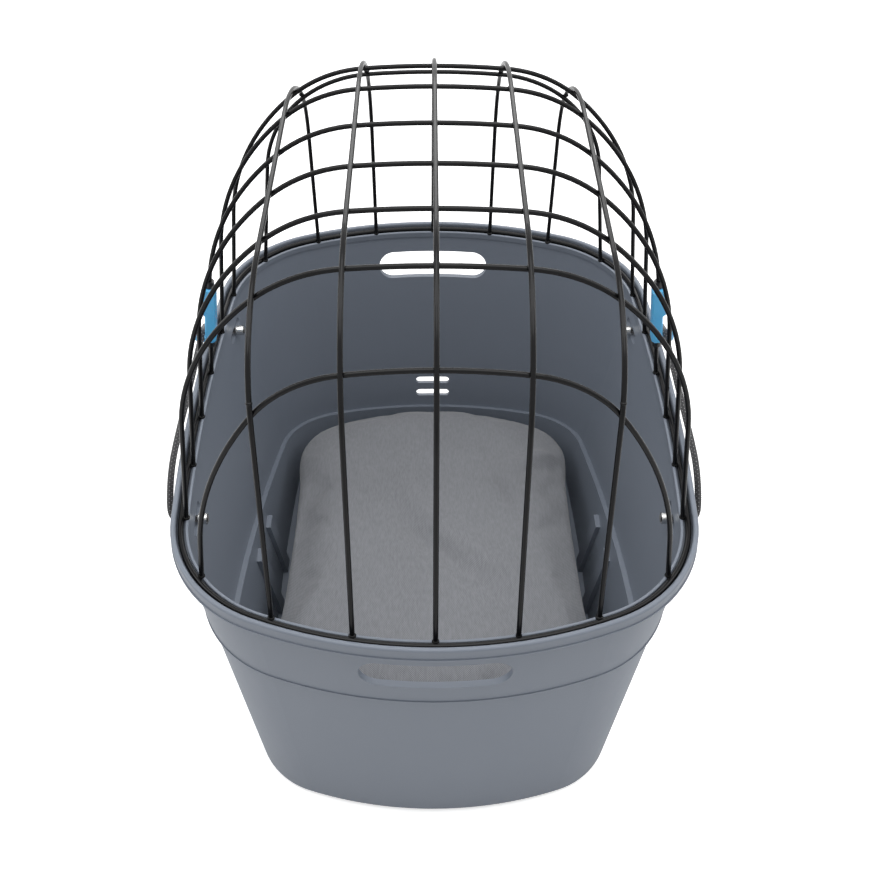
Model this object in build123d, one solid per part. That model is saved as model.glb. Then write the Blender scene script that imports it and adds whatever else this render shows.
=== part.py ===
from build123d import *
import math
import os

# Bicycle pet basket: a tapered plastic tub with a padded cushion, closed by a domed wire
# cage. The cage's base ring lies in a groove on the tub's rim. On each side an elastic cord,
# threaded through two slots in the tub's wall, is stretched over a hook on a cage wire.
# Millimetres, +Z up, +Y to the back. The origin is on the ground, under the rim's centre.

# Tub
TUB_DEPTH = 219.0
FOOT_HEIGHT = 3.0
WALL = 3.0
FLOOR_THICKNESS = 3.0
RIM_HALF_WIDTH = 172.0
RIM_HALF_LENGTH = 220.0
RIM_SIDE_RADIUS = 1600.0
RIM_END_RADIUS = 300.0
RIM_CORNER_RADIUS = 90.0
BASE_HALF_WIDTH = 139.0
BASE_FRONT = 215.5
BASE_BACK = 184.0
BASE_SIDE_RADIUS = 1900.0
BASE_END_RADIUS = 300.0
BASE_CORNER_RADIUS = 60.0
BASE_EDGE_FILLET = 4.0
FOOT_INNER_X = 92.0
FOOT_LENGTH = 70.0

# Rim, measured outwards from the middle of the ring's groove
GROOVE_HALF_WIDTH = 2.8
GROOVE_CLEARANCE = 0.3
RIM_PLATE = 2.7
LIP_REACH = 6.4
LIP_HEIGHT = 4.0
LIP_FILLET = 1.6
SKIRT_THICKNESS = 2.5
SKIRT_DROP = 6.0
INNER_EDGE_THICKNESS = 2.2
INNER_EDGE_DROP = 0.2
INNER_EDGE_FILLET = 0.9
BEAD_PROUD = 0.7
BEAD_HEIGHT = 1.2

# Wall features, depths below the ring's plane
BAND_DEPTH = 62.0
BAND_PROUD = 1.5
LEDGE_DEPTH = 138.0
LEDGE_FALL = 0.237
LEDGE_WIDTH = 4.0
HAND_SLOT_DEPTH = 32.0
HAND_SLOT_LENGTH = 96.0
HAND_SLOT_HEIGHT = 25.0
VENT_DEPTH = 154.0
VENT_PITCH = 14.0
VENT_COUNT = 2
VENT_LENGTH = 32.0
VENT_HEIGHT = 7.0
CORD_SLOT_Y = 102.0
CORD_SLOT_DEPTH = 20.0
CORD_SLOT_LENGTH = 30.0
CORD_SLOT_HEIGHT = 7.0
BUTTRESS_PLACES = (-33.0, 12.0)
BUTTRESS_WIDTH = 14.0
BUTTRESS_REACH = 4.0
BUTTRESS_TOP_GAP = 14.0

# Slots in the floor for the rack's bolts
RACK_SLOT_SPACING_X = 130.0
RACK_SLOT_SPACING_Y = 180.0
RACK_SLOT_LENGTH = 24.0
RACK_SLOT_WIDTH = 6.4

# Cage
RING_WIRE = 4.0
CAGE_WIRE = 3.2
WELD_SINK = 0.3
CROSSING_SINK = 0.2
LEG_LIFT = 0.2
LONG_WIRE_COUNT = 5
LONG_WIRE_PITCH = 50.0
CROWN_HEIGHTS = (210.0, 208.0, 189.0)
FRONT_SHOULDER_INSET = 131.5
FRONT_SHOULDER_RADIUS = 110.0
FRONT_SHOULDER_TURN = 30.0
FRONT_LEG_LEAN = 12.0
BACK_SHOULDER_INSET = 149.5
BACK_SHOULDER_RADIUS = 160.0
BACK_SHOULDER_TURN = 39.0
BACK_LEG_LEAN = 2.0
ARCH_COUNT = 8
FRONT_ARCH_INSET = 53.0
BACK_ARCH_INSET = 48.2
ARCH_LEG_LEAN = 7.0
ARCH_FITS = 6
SLOPE_STEP = 0.1

# Hooks, cords and their end ferrules
HOOK_ARCH = 4
HOOK_START = 33.0
HOOK_LENGTH = 48.0
HOOK_WIDTH = 10.0
HOOK_INNER_REACH = 4.4
HOOK_OUTER_REACH = 5.6
HOOK_ARM_REACH = 3.3
HOOK_HEAD_START = 57.0
HOOK_RUNNING_FIT = 0.08
HOOK_CHAMFER = 0.8
BOWL_WALL = 2.6
BOWL_TIP_RISE = 5.0
STOP_RADIUS = 3.3
STOP_LENGTH = 5.0
STOP_GAP = 0.3
STOP_FIT = 0.12
CORD_DIAMETER = 5.0
CORD_CLEARANCE = 0.3
CORD_OUTSIDE_GAP = 1.0
CORD_FRONT_CREST = -77.0
CORD_BACK_CREST = 79.0
CORD_SLOT_BEND = 9.0
CORD_FRONT_BEND = 30.0
CORD_BOWL_BEND = 12.0
CORD_BACK_BEND = 18.0
FERRULE_RADIUS = 4.0
FERRULE_LENGTH = 6.0
FERRULE_GAP = 1.0
CORD_TAIL = 1.0

# Cushion
CUSHION_THICKNESS = 66.0
CUSHION_FALL = 19.0
CUSHION_REST_GAP = 0.3
CUSHION_GAP = 2.5
CUSHION_SIDE_DRAW = 3.0
CUSHION_END_BOW = 42.0
CUSHION_CORNER_RADIUS = 60.0
CUSHION_EDGE_ROUND = 6.0
CUSHION_STEPS = 8
CUSHION_CROWN = 8.0
CUSHION_CROWN_REACH = 55.0
CUSHION_CROWN_RINGS = (0.25, 0.6, 1.0)

RING_Z = FOOT_HEIGHT + TUB_DEPTH


class PlanOutline:
    """A rounded rectangle in plan, made of bowed sides, bowed ends and corner arcs."""

    def __init__(self, half_width, front, back, side_radius, end_radius, corner_radius):
        self.half_width = half_width
        self.middle = (back - front) / 2
        self.half_length = (front + back) / 2
        self.side_radius = side_radius
        self.end_radius = end_radius
        self.corner_radius = corner_radius
        self.side_centre = half_width - side_radius
        self.end_centre = self.half_length - end_radius
        self.corner_x, self.corner_y = self.corner_centre()

    def corner_centre(self):
        to_side = self.side_radius - self.corner_radius
        to_end = self.end_radius - self.corner_radius
        span = math.hypot(self.side_centre, self.end_centre)
        along = (to_side**2 - to_end**2 + span**2) / (2 * span)
        across = math.sqrt(to_side**2 - along**2)
        unit_x = -self.side_centre / span
        unit_y = self.end_centre / span
        return (
            self.side_centre + along * unit_x - across * unit_y,
            along * unit_y + across * unit_x,
        )

    def offset(self, distance):
        return PlanOutline(
            self.half_width + distance,
            self.half_length - self.middle + distance,
            self.half_length + self.middle + distance,
            self.side_radius + distance,
            self.end_radius + distance,
            self.corner_radius + distance,
        )

    def blend(self, other, share):
        def mix(a, b):
            return a + (b - a) * share

        return PlanOutline(
            mix(self.half_width, other.half_width),
            mix(self.half_length - self.middle, other.half_length - other.middle),
            mix(self.half_length + self.middle, other.half_length + other.middle),
            mix(self.side_radius, other.side_radius),
            mix(self.end_radius, other.end_radius),
            mix(self.corner_radius, other.corner_radius),
        )

    def side_tangent(self):
        reach = math.hypot(self.corner_x - self.side_centre, self.corner_y)
        share = self.side_radius / reach
        return self.side_centre + (self.corner_x - self.side_centre) * share, self.corner_y * share

    def end_tangent(self):
        reach = math.hypot(self.corner_x, self.corner_y - self.end_centre)
        share = self.end_radius / reach
        return self.corner_x * share, self.end_centre + (self.corner_y - self.end_centre) * share

    def half_width_at(self, y):
        y = abs(y - self.middle)
        if y <= self.side_tangent()[1]:
            return self.side_centre + math.sqrt(self.side_radius**2 - y**2)
        return self.corner_x + math.sqrt(self.corner_radius**2 - (y - self.corner_y) ** 2)

    def half_length_at(self, x):
        x = abs(x)
        if x <= self.end_tangent()[0]:
            return self.end_centre + math.sqrt(self.end_radius**2 - x**2)
        return self.corner_y + math.sqrt(self.corner_radius**2 - (x - self.corner_x) ** 2)

    def wire(self, z):
        side_x, side_y = self.side_tangent()
        end_x, end_y = self.end_tangent()
        bearing = math.atan2(side_y + end_y - 2 * self.corner_y, side_x + end_x - 2 * self.corner_x)
        mid_x = self.corner_x + self.corner_radius * math.cos(bearing)
        mid_y = self.corner_y + self.corner_radius * math.sin(bearing)

        def arc(*points):
            return ThreePointArc(*[(x, self.middle + y, z) for x, y in points])

        return Wire(
            [
                arc((side_x, -side_y), (self.half_width, 0), (side_x, side_y)),
                arc((side_x, side_y), (mid_x, mid_y), (end_x, end_y)),
                arc((end_x, end_y), (0, self.half_length), (-end_x, end_y)),
                arc((-end_x, end_y), (-mid_x, mid_y), (-side_x, side_y)),
                arc((-side_x, side_y), (-self.half_width, 0), (-side_x, -side_y)),
                arc((-side_x, -side_y), (-mid_x, -mid_y), (-end_x, -end_y)),
                arc((-end_x, -end_y), (0, -self.half_length), (end_x, -end_y)),
                arc((end_x, -end_y), (mid_x, -mid_y), (side_x, -side_y)),
            ]
        )

    def face(self, z):
        return Face(self.wire(z))

    def slab(self, low, high):
        return extrude(self.face(low), amount=high - low, dir=(0, 0, 1))


RIM = PlanOutline(
    RIM_HALF_WIDTH,
    RIM_HALF_LENGTH,
    RIM_HALF_LENGTH,
    RIM_SIDE_RADIUS,
    RIM_END_RADIUS,
    RIM_CORNER_RADIUS,
)
BASE = PlanOutline(
    BASE_HALF_WIDTH,
    BASE_FRONT,
    BASE_BACK,
    BASE_SIDE_RADIUS,
    BASE_END_RADIUS,
    BASE_CORNER_RADIUS,
)
FAR = 2 * RIM_HALF_LENGTH


def wall_outline(z):
    """The outside of the tub's wall at a height."""
    return BASE.blend(RIM, (z - FOOT_HEIGHT) / TUB_DEPTH)


def tub_frustum(inset, low, high):
    """The tapered body between two heights, drawn in by an inset."""
    bottom = wall_outline(low).offset(-inset)
    top = wall_outline(high).offset(-inset)
    return loft([bottom.face(low), top.face(high)])


def slot_cutter(length, height, x, y, z, direction):
    """A round-ended slot that runs from a point out along a direction."""
    plane = Plane(origin=(x, y, z), x_dir=(-direction[1], direction[0], 0), z_dir=direction)
    return extrude(plane * SlotOverall(length, height), amount=FAR)


def make_tub():
    plate_top = RING_Z - RING_WIRE / 2 - GROOVE_CLEARANCE
    plate_low = plate_top - RIM_PLATE
    lip_out = RIM.offset(LIP_REACH)
    inner_edge = GROOVE_HALF_WIDTH + INNER_EDGE_THICKNESS

    body = tub_frustum(0, FOOT_HEIGHT, plate_top)
    body = fillet(body.faces().sort_by(Axis.Z)[0].edges(), BASE_EDGE_FILLET)
    band_low = RING_Z - BAND_DEPTH
    body += tub_frustum(-BAND_PROUD, band_low, plate_top)
    body += tub_frustum(-BAND_PROUD - BEAD_PROUD, band_low, band_low + BEAD_HEIGHT)
    body += lip_out.slab(plate_low, plate_top)
    lip_top = RING_Z + LIP_HEIGHT
    lip = lip_out.slab(plate_low, lip_top) - RIM.offset(GROOVE_HALF_WIDTH).slab(0, lip_top)
    body += fillet(lip.faces().sort_by(Axis.Z)[-1].edges(), LIP_FILLET)
    skirt = lip_out.slab(RING_Z - SKIRT_DROP, plate_top)
    skirt += lip_out.offset(BEAD_PROUD).slab(RING_Z - SKIRT_DROP, RING_Z - SKIRT_DROP + BEAD_HEIGHT)
    body += skirt - RIM.offset(LIP_REACH - SKIRT_THICKNESS).slab(0, plate_top)

    floor_top = FOOT_HEIGHT + FLOOR_THICKNESS
    body -= tub_frustum(WALL + LEDGE_WIDTH, floor_top, plate_low)
    body -= tub_frustum(WALL, floor_top, plate_low) & above_ledge()
    body -= RIM.offset(-inner_edge).slab(plate_low, lip_top)

    edge = RIM.offset(-GROOVE_HALF_WIDTH).slab(plate_low, RING_Z - INNER_EDGE_DROP)
    edge -= RIM.offset(-inner_edge).slab(0, lip_top)
    body += fillet(edge.faces().sort_by(Axis.Z)[-1].edges(), INNER_EDGE_FILLET)

    feet = BASE.offset(-BASE_EDGE_FILLET).slab(0, FOOT_HEIGHT + FLOOR_THICKNESS)
    feet -= Pos(0, BASE.middle, 0) * Box(2 * FOOT_INNER_X, FAR, FAR)
    feet -= Pos(0, BASE.middle, 0) * Box(FAR, 2 * (BASE.half_length - FOOT_LENGTH), FAR)
    body += feet

    for y in BUTTRESS_PLACES:
        for side in (-1, 1):
            body += make_buttress(side, y)

    hand_z = RING_Z - HAND_SLOT_DEPTH
    body -= slot_cutter(HAND_SLOT_LENGTH, HAND_SLOT_HEIGHT, 0, 0, hand_z, (0, -1, 0))
    body -= slot_cutter(HAND_SLOT_LENGTH, HAND_SLOT_HEIGHT, 0, 0, hand_z, (0, 1, 0))
    for row in range(VENT_COUNT):
        vent_z = RING_Z - VENT_DEPTH - row * VENT_PITCH
        body -= slot_cutter(VENT_LENGTH, VENT_HEIGHT, 0, 0, vent_z, (0, 1, 0))
    for y in (-CORD_SLOT_Y, CORD_SLOT_Y):
        for side in (-1, 1):
            cord_z = RING_Z - CORD_SLOT_DEPTH
            body -= slot_cutter(CORD_SLOT_LENGTH, CORD_SLOT_HEIGHT, 0, y, cord_z, (side, 0, 0))
    rack_slot = extrude(SlotOverall(RACK_SLOT_LENGTH, RACK_SLOT_WIDTH), amount=FAR)
    for x in (-RACK_SLOT_SPACING_X / 2, RACK_SLOT_SPACING_X / 2):
        for y in (-RACK_SLOT_SPACING_Y / 2, RACK_SLOT_SPACING_Y / 2):
            cutter = Pos(x, BASE.middle + y, 0) * rack_slot
            body -= cutter & Box(FAR, 2 * FAR, 2 * (FOOT_HEIGHT + 2 * FLOOR_THICKNESS))
    return body


def above_ledge():
    """The space above the ledge, which falls towards the back."""
    fall = math.degrees(math.atan(LEDGE_FALL))
    space = Box(FAR, 2 * FAR, FAR, align=(Align.CENTER, Align.CENTER, Align.MIN))
    return Pos(0, 0, RING_Z - LEDGE_DEPTH) * Rot(-fall, 0, 0) * space


def make_buttress(side, y):
    """A vertical rib on the side wall, below the ledge."""
    top = RING_Z - LEDGE_DEPTH - LEDGE_FALL * y - BUTTRESS_TOP_GAP
    low = FOOT_HEIGHT + FLOOR_THICKNESS / 2
    skin = WALL / 2
    rib = tub_frustum(skin, low, top) - tub_frustum(WALL + LEDGE_WIDTH + BUTTRESS_REACH, low, top)
    return rib & Pos(side * RIM_HALF_WIDTH, y, top / 2) * Box(FAR / 2, BUTTRESS_WIDTH, FAR)


class WirePath:
    """A planar run of lines and tangent arcs, drawn from a start point and a heading."""

    def __init__(self, point, heading):
        self.point = point
        self.heading = heading
        self.pieces = []

    def line(self, length):
        start = self.point
        self.point = (
            start[0] + length * math.cos(self.heading),
            start[1] + length * math.sin(self.heading),
        )
        self.pieces.append((start, self.point))
        return self

    def arc(self, radius, turn):
        """Turn left by an angle in radians; a negative angle turns right."""
        start = self.point
        sign = math.copysign(1, turn)
        centre_x = start[0] - sign * radius * math.sin(self.heading)
        centre_y = start[1] + sign * radius * math.cos(self.heading)

        def at(heading):
            return (
                centre_x + sign * radius * math.sin(heading),
                centre_y - sign * radius * math.cos(heading),
            )

        self.point = at(self.heading + turn)
        self.pieces.append((start, at(self.heading + turn / 2), self.point))
        self.heading += turn
        return self

    def rod(self, diameter, place):
        """Sweep a round rod along the path; place turns a path point into a model point."""
        edges = []
        for piece in self.pieces:
            points = [place(*point) for point in piece]
            edges.append(Line(*points) if len(points) == 2 else ThreePointArc(*points))
        path = Wire(edges)
        section = Plane(origin=path @ 0, z_dir=path % 0) * Circle(diameter / 2)
        return sweep(section, path=path)


def leg_radius(point, foot, slope, lean):
    """Radius of the arc that leaves a point at a slope and ends tangent to a leaning leg."""
    normal = (math.sin(slope), -math.cos(slope))
    inward = (math.cos(lean), -math.sin(lean))
    reach = (point[0] - foot[0]) * inward[0] + (point[1] - foot[1]) * inward[1]
    return reach / (1 - normal[0] * inward[0] - normal[1] * inward[1])


FRONT_TURN = math.radians(FRONT_SHOULDER_TURN)
BACK_TURN = math.radians(BACK_SHOULDER_TURN)
FRONT_LEAN = math.radians(FRONT_LEG_LEAN)
BACK_LEAN = math.radians(BACK_LEG_LEAN)
ARCH_LEAN = math.radians(ARCH_LEG_LEAN)
WELD_REACH = (RING_WIRE + CAGE_WIRE) / 2 - WELD_SINK


def crown_height(column):
    return CROWN_HEIGHTS[abs(column)]


class Shoulder:
    """One end of a long wire: a leaning leg, a shoulder arc and a crown arc.

    Distances along the wire run inwards, from minus the foot's distance up to zero.
    """

    def __init__(self, column, front):
        self.crown = crown_height(column)
        self.start = (FRONT_SHOULDER_INSET if front else BACK_SHOULDER_INSET) - RIM_HALF_LENGTH
        self.radius = FRONT_SHOULDER_RADIUS if front else BACK_SHOULDER_RADIUS
        self.turn = FRONT_TURN if front else BACK_TURN
        self.lean = FRONT_LEAN if front else BACK_LEAN
        self.foot = (-RIM.offset(-WELD_REACH).half_length_at(column * LONG_WIRE_PITCH), 0)
        self.knee = (
            self.start - self.radius * math.sin(self.turn),
            self.crown - self.radius * (1 - math.cos(self.turn)),
        )
        self.leg_arc = leg_radius(self.knee, self.foot, self.turn, self.lean)
        self.centre = (
            self.knee[0] + self.leg_arc * math.sin(self.turn),
            self.knee[1] - self.leg_arc * math.cos(self.turn),
        )
        self.leg_end = (
            self.centre[0] - self.leg_arc * math.cos(self.lean),
            self.centre[1] + self.leg_arc * math.sin(self.lean),
        )

    def height(self, along):
        if along > self.start:
            return self.crown
        if along > self.knee[0]:
            return self.crown - self.radius + math.sqrt(self.radius**2 - (self.start - along) ** 2)
        if along > self.leg_end[0]:
            return self.centre[1] + math.sqrt(self.leg_arc**2 - (self.centre[0] - along) ** 2)
        return (along - self.foot[0]) / math.tan(self.lean)


def long_wire_height(column, y):
    """Height of a long wire's axis above the ring's plane."""
    return Shoulder(column, y < 0).height(-abs(y))


def long_wire_slope(column, y):
    rise = long_wire_height(column, y + SLOPE_STEP) - long_wire_height(column, y - SLOPE_STEP)
    return math.atan2(rise, 2 * SLOPE_STEP)


def crossing_drop(wire_slope, arch_slope):
    """How far below a long wire's axis an arch's axis crosses, so that the two just bite."""
    level = math.cos(wire_slope) * math.cos(arch_slope)
    across = math.hypot(math.sin(arch_slope) * math.cos(wire_slope), math.cos(arch_slope))
    return (CAGE_WIRE - CROSSING_SINK) * across / level


def make_long_wire(column):
    """A lengthwise wire: a leg and two arcs at each end of a straight crown."""
    front = Shoulder(column, True)
    back = Shoulder(column, False)
    path = WirePath((front.foot[0] + LEG_LIFT * math.tan(front.lean), LEG_LIFT), math.pi / 2 - front.lean)
    path.line(math.dist(path.point, front.leg_end))
    path.arc(front.leg_arc, -(math.pi / 2 - front.lean - front.turn))
    path.arc(front.radius, -front.turn)
    path.line(-back.start - front.start)
    path.arc(back.radius, -back.turn)
    path.arc(back.leg_arc, -(math.pi / 2 - back.lean - back.turn))
    path.line((path.point[1] - LEG_LIFT) / math.cos(back.lean))
    x = column * LONG_WIRE_PITCH
    return path.rod(CAGE_WIRE, lambda y, z: (x, y, RING_Z + z))


def arch_y(number):
    pitch = (2 * RIM_HALF_LENGTH - FRONT_ARCH_INSET - BACK_ARCH_INSET) / (ARCH_COUNT - 1)
    return RIM_HALF_LENGTH - BACK_ARCH_INSET - (number - 1) * pitch


def arch_foot(number):
    return RIM.offset(-WELD_REACH).half_width_at(arch_y(number))


def make_arch(number):
    """A transverse wire: leaning legs, shoulder arcs, and a crown that lies under the long wires."""
    y = arch_y(number)
    slopes = [0.0, 0.0, 0.0]
    for _ in range(ARCH_FITS):
        top, second, third = [
            long_wire_height(column, y) - crossing_drop(long_wire_slope(column, y), slopes[column])
            for column in (0, 1, 2)
        ]
        sag = top - second
        crown_radius = (LONG_WIRE_PITCH**2 + sag**2) / (2 * sag)
        crown_turn = math.asin(LONG_WIRE_PITCH / crown_radius)
        chord = math.hypot(LONG_WIRE_PITCH, second - third)
        chord_slope = math.atan2(second - third, LONG_WIRE_PITCH)
        flank_turn = 2 * (chord_slope - crown_turn)
        slope = crown_turn + flank_turn
        slopes = [0.0, crown_turn, slope]
    flank_radius = chord / (2 * math.sin(flank_turn / 2))
    foot = (-arch_foot(number), 0)
    knee = (-2 * LONG_WIRE_PITCH, third)
    radius = leg_radius(knee, foot, slope, ARCH_LEAN)
    centre = (knee[0] + radius * math.sin(slope), knee[1] - radius * math.cos(slope))
    leg_end = (centre[0] - radius * math.cos(ARCH_LEAN), centre[1] + radius * math.sin(ARCH_LEAN))
    first = (foot[0] + LEG_LIFT * math.tan(ARCH_LEAN), LEG_LIFT)
    leg = math.dist(first, leg_end)
    path = WirePath(first, math.pi / 2 - ARCH_LEAN).line(leg)
    path.arc(radius, -(math.pi / 2 - ARCH_LEAN - slope))
    path.arc(flank_radius, -flank_turn)
    path.arc(crown_radius, -2 * crown_turn)
    path.arc(flank_radius, -flank_turn)
    path.arc(radius, -(math.pi / 2 - ARCH_LEAN - slope))
    path.line(leg)
    return path.rod(CAGE_WIRE, lambda x, z: (x, y, RING_Z + z))


def make_ring():
    path = RIM.wire(RING_Z)
    section = Plane(origin=path @ 0, z_dir=path % 0) * Circle(RING_WIRE / 2)
    return sweep(section, path=path)


def leg_plane(side):
    """Plane of a hook: local x points outwards, local y up along the wire's leg."""
    origin = (side * arch_foot(HOOK_ARCH), arch_y(HOOK_ARCH), RING_Z)
    outward = Vector(side * math.cos(ARCH_LEAN), 0, math.sin(ARCH_LEAN))
    upward = Vector(-side * math.sin(ARCH_LEAN), 0, math.cos(ARCH_LEAN))
    return Plane(origin=origin, x_dir=outward, z_dir=outward.cross(upward))


BOWL_RADIUS = CORD_DIAMETER / 2 + CORD_CLEARANCE
BOWL_X = HOOK_ARM_REACH + BOWL_RADIUS
BOWL_Y = HOOK_START + BOWL_WALL + BOWL_RADIUS


def cord_corners(side):
    """Corner points and radii of an elastic cord, from the front slot's inside to the back's."""
    slot_z = RING_Z - CORD_SLOT_DEPTH
    outside = RIM.offset(LIP_REACH + CORD_DIAMETER / 2 + CORD_OUTSIDE_GAP)
    inside_x = wall_outline(slot_z).offset(-WALL - FERRULE_GAP - FERRULE_LENGTH - CORD_TAIL)
    tail_x = inside_x.half_width_at(CORD_SLOT_Y)
    bowl = leg_plane(side).from_local_coords(Vector(BOWL_X, BOWL_Y, 0))
    crest_z = RING_Z + LIP_HEIGHT
    points = [
        (side * tail_x, -CORD_SLOT_Y, slot_z),
        (side * outside.half_width_at(CORD_SLOT_Y), -CORD_SLOT_Y, slot_z),
        (side * outside.half_width_at(CORD_FRONT_CREST), CORD_FRONT_CREST, crest_z),
        tuple(bowl),
        (side * outside.half_width_at(CORD_BACK_CREST), CORD_BACK_CREST, crest_z),
        (side * outside.half_width_at(CORD_SLOT_Y), CORD_SLOT_Y, slot_z),
        (side * tail_x, CORD_SLOT_Y, slot_z),
    ]
    radii = [CORD_SLOT_BEND, CORD_FRONT_BEND, CORD_BOWL_BEND, CORD_BACK_BEND, CORD_SLOT_BEND]
    return points, radii


def cord_tube(side, radius):
    points, radii = cord_corners(side)
    path = FilletPolyline(*points, radius=radii)
    section = Plane(origin=path @ 0, z_dir=path % 0) * Circle(radius)
    return sweep(section, path=path)


def make_hook(side):
    """A clip that turns on a cage wire, with an upturned bowl for the cord at its foot."""
    low = HOOK_START
    high = HOOK_START + HOOK_LENGTH
    tip_x = BOWL_X + BOWL_RADIUS + BOWL_WALL
    corner = HOOK_INNER_REACH / 2
    outline = Polyline(
        (-HOOK_INNER_REACH, low + corner),
        (-HOOK_INNER_REACH, high - corner),
        (-HOOK_INNER_REACH + corner, high),
        (HOOK_OUTER_REACH - corner, high),
        (HOOK_OUTER_REACH, high - corner),
        (HOOK_OUTER_REACH, HOOK_HEAD_START + corner),
        (HOOK_ARM_REACH, HOOK_HEAD_START),
        (HOOK_ARM_REACH, BOWL_Y),
        (BOWL_X + BOWL_RADIUS, BOWL_Y),
        (BOWL_X + BOWL_RADIUS, BOWL_Y + BOWL_TIP_RISE),
        (tip_x, BOWL_Y + BOWL_TIP_RISE),
        (tip_x, low + corner),
        (tip_x - corner, low),
        (-HOOK_INNER_REACH + corner, low),
        close=True,
    )
    plane = leg_plane(side)
    hook = extrude(plane * make_face(outline), amount=HOOK_WIDTH / 2, both=True)
    hook = chamfer_sides(hook, plane)
    shaft = Cylinder(CAGE_WIRE / 2 + HOOK_RUNNING_FIT, FAR)
    return hook - plane * Rot(-90, 0, 0) * shaft - cord_tube(side, BOWL_RADIUS)


def chamfer_sides(hook, plane):
    """Break the long edges of the hook's two flat sides."""
    flats = hook.faces().filter_by(Axis((0, 0, 0), plane.z_dir))
    edges = ShapeList()
    for flat in flats:
        edges += flat.edges()
    return chamfer(edges, HOOK_CHAMFER)


def make_stops(side):
    """Two collars on the wire, one at each end of the hook."""
    plane = leg_plane(side)
    stops = []
    for start in (HOOK_START - STOP_GAP - STOP_LENGTH, HOOK_START + HOOK_LENGTH + STOP_GAP):
        collar = Cylinder(STOP_RADIUS, STOP_LENGTH)
        collar -= Cylinder(CAGE_WIRE / 2 + STOP_FIT, STOP_LENGTH)
        stops.append(plane * Pos(0, start + STOP_LENGTH / 2, 0) * Rot(-90, 0, 0) * collar)
    return stops


def make_ferrules():
    """Crimped ferrules on the cords' ends, too thick to pass the slots."""
    slot_z = RING_Z - CORD_SLOT_DEPTH
    inner = wall_outline(slot_z).offset(-WALL - FERRULE_GAP - FERRULE_LENGTH / 2)
    sleeve = Cylinder(FERRULE_RADIUS, FERRULE_LENGTH) - Cylinder(CORD_DIAMETER / 2, FERRULE_LENGTH)
    ferrule = Rot(0, 90, 0) * sleeve
    return [
        Pos(side * inner.half_width_at(CORD_SLOT_Y), y, slot_z) * ferrule
        for side in (-1, 1)
        for y in (-CORD_SLOT_Y, CORD_SLOT_Y)
    ]


def cushion_section(z, inset, fall):
    """A cushion outline with drawn-in sides, level or falling towards the back."""
    well = wall_outline(z - fall).offset(-WALL - LEDGE_WIDTH - CUSHION_GAP - inset)
    x = well.half_width - BUTTRESS_REACH
    front = well.middle - well.half_length
    back = well.middle + well.half_length
    corner_front = front + CUSHION_END_BOW
    corner_back = back - CUSHION_END_BOW
    side_x = x - CUSHION_SIDE_DRAW
    sides = [
        ThreePointArc((x, corner_front, z), (side_x, well.middle, z), (x, corner_back, z)),
        ThreePointArc((x, corner_back, z), (0, back, z), (-x, corner_back, z)),
        ThreePointArc((-x, corner_back, z), (-side_x, well.middle, z), (-x, corner_front, z)),
        ThreePointArc((-x, corner_front, z), (0, front, z), (x, corner_front, z)),
    ]
    outline = fillet(Face(Wire(sides)).vertices(), CUSHION_CORNER_RADIUS)
    tilt = math.degrees(math.atan(fall / well.half_length))
    return outline.rotate(Axis((0, well.middle, z), (1, 0, 0)), -tilt)


def make_cushion():
    """A padded cushion that fills the well: a swelling side, and a crown on top."""
    bottom = FOOT_HEIGHT + FLOOR_THICKNESS + CUSHION_REST_GAP
    radius = CUSHION_THICKNESS / 2
    sections = []
    for step in range(CUSHION_STEPS + 1):
        angle = math.pi * step / CUSHION_STEPS
        height = radius * (1 - math.cos(angle))
        inset = CUSHION_EDGE_ROUND * (1 - math.sin(angle))
        fall = CUSHION_FALL * height / CUSHION_THICKNESS
        sections.append(cushion_section(bottom + height, inset, fall))
    for share in CUSHION_CROWN_RINGS:
        crown = CUSHION_CROWN * (1 - (1 - share) ** 2)
        inset = CUSHION_EDGE_ROUND + share * CUSHION_CROWN_REACH
        sections.append(cushion_section(bottom + CUSHION_THICKNESS + crown, inset, CUSHION_FALL))
    return loft(sections, ruled=True)


def export(name, shape):
    solids = shape if isinstance(shape, list) else [shape]
    whole = Compound(children=[s for item in solids for s in item.solids()])
    export_step(whole, f"parts/{name}.step")


def main():
    os.makedirs("parts", exist_ok=True)
    export("tub", make_tub())
    export("cushion", make_cushion())
    export("base_ring", make_ring())
    for number in range(1, LONG_WIRE_COUNT + 1):
        column = number - (LONG_WIRE_COUNT + 1) // 2
        export(f"long_wire_{number}", make_long_wire(column))
    for number in range(1, ARCH_COUNT + 1):
        export(f"arch_wire_{number}", make_arch(number))
    for name, side in (("left", -1), ("right", 1)):
        export(f"hook_{name}", make_hook(side))
        export(f"elastic_cord_{name}", cord_tube(side, CORD_DIAMETER / 2))
    export("hook_stops", make_stops(-1) + make_stops(1))
    export("cord_ferrules", make_ferrules())


main()
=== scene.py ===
import math

import bmesh
import bpy
from mathutils import Matrix, Vector
from mathutils.bvhtree import BVHTree

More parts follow.
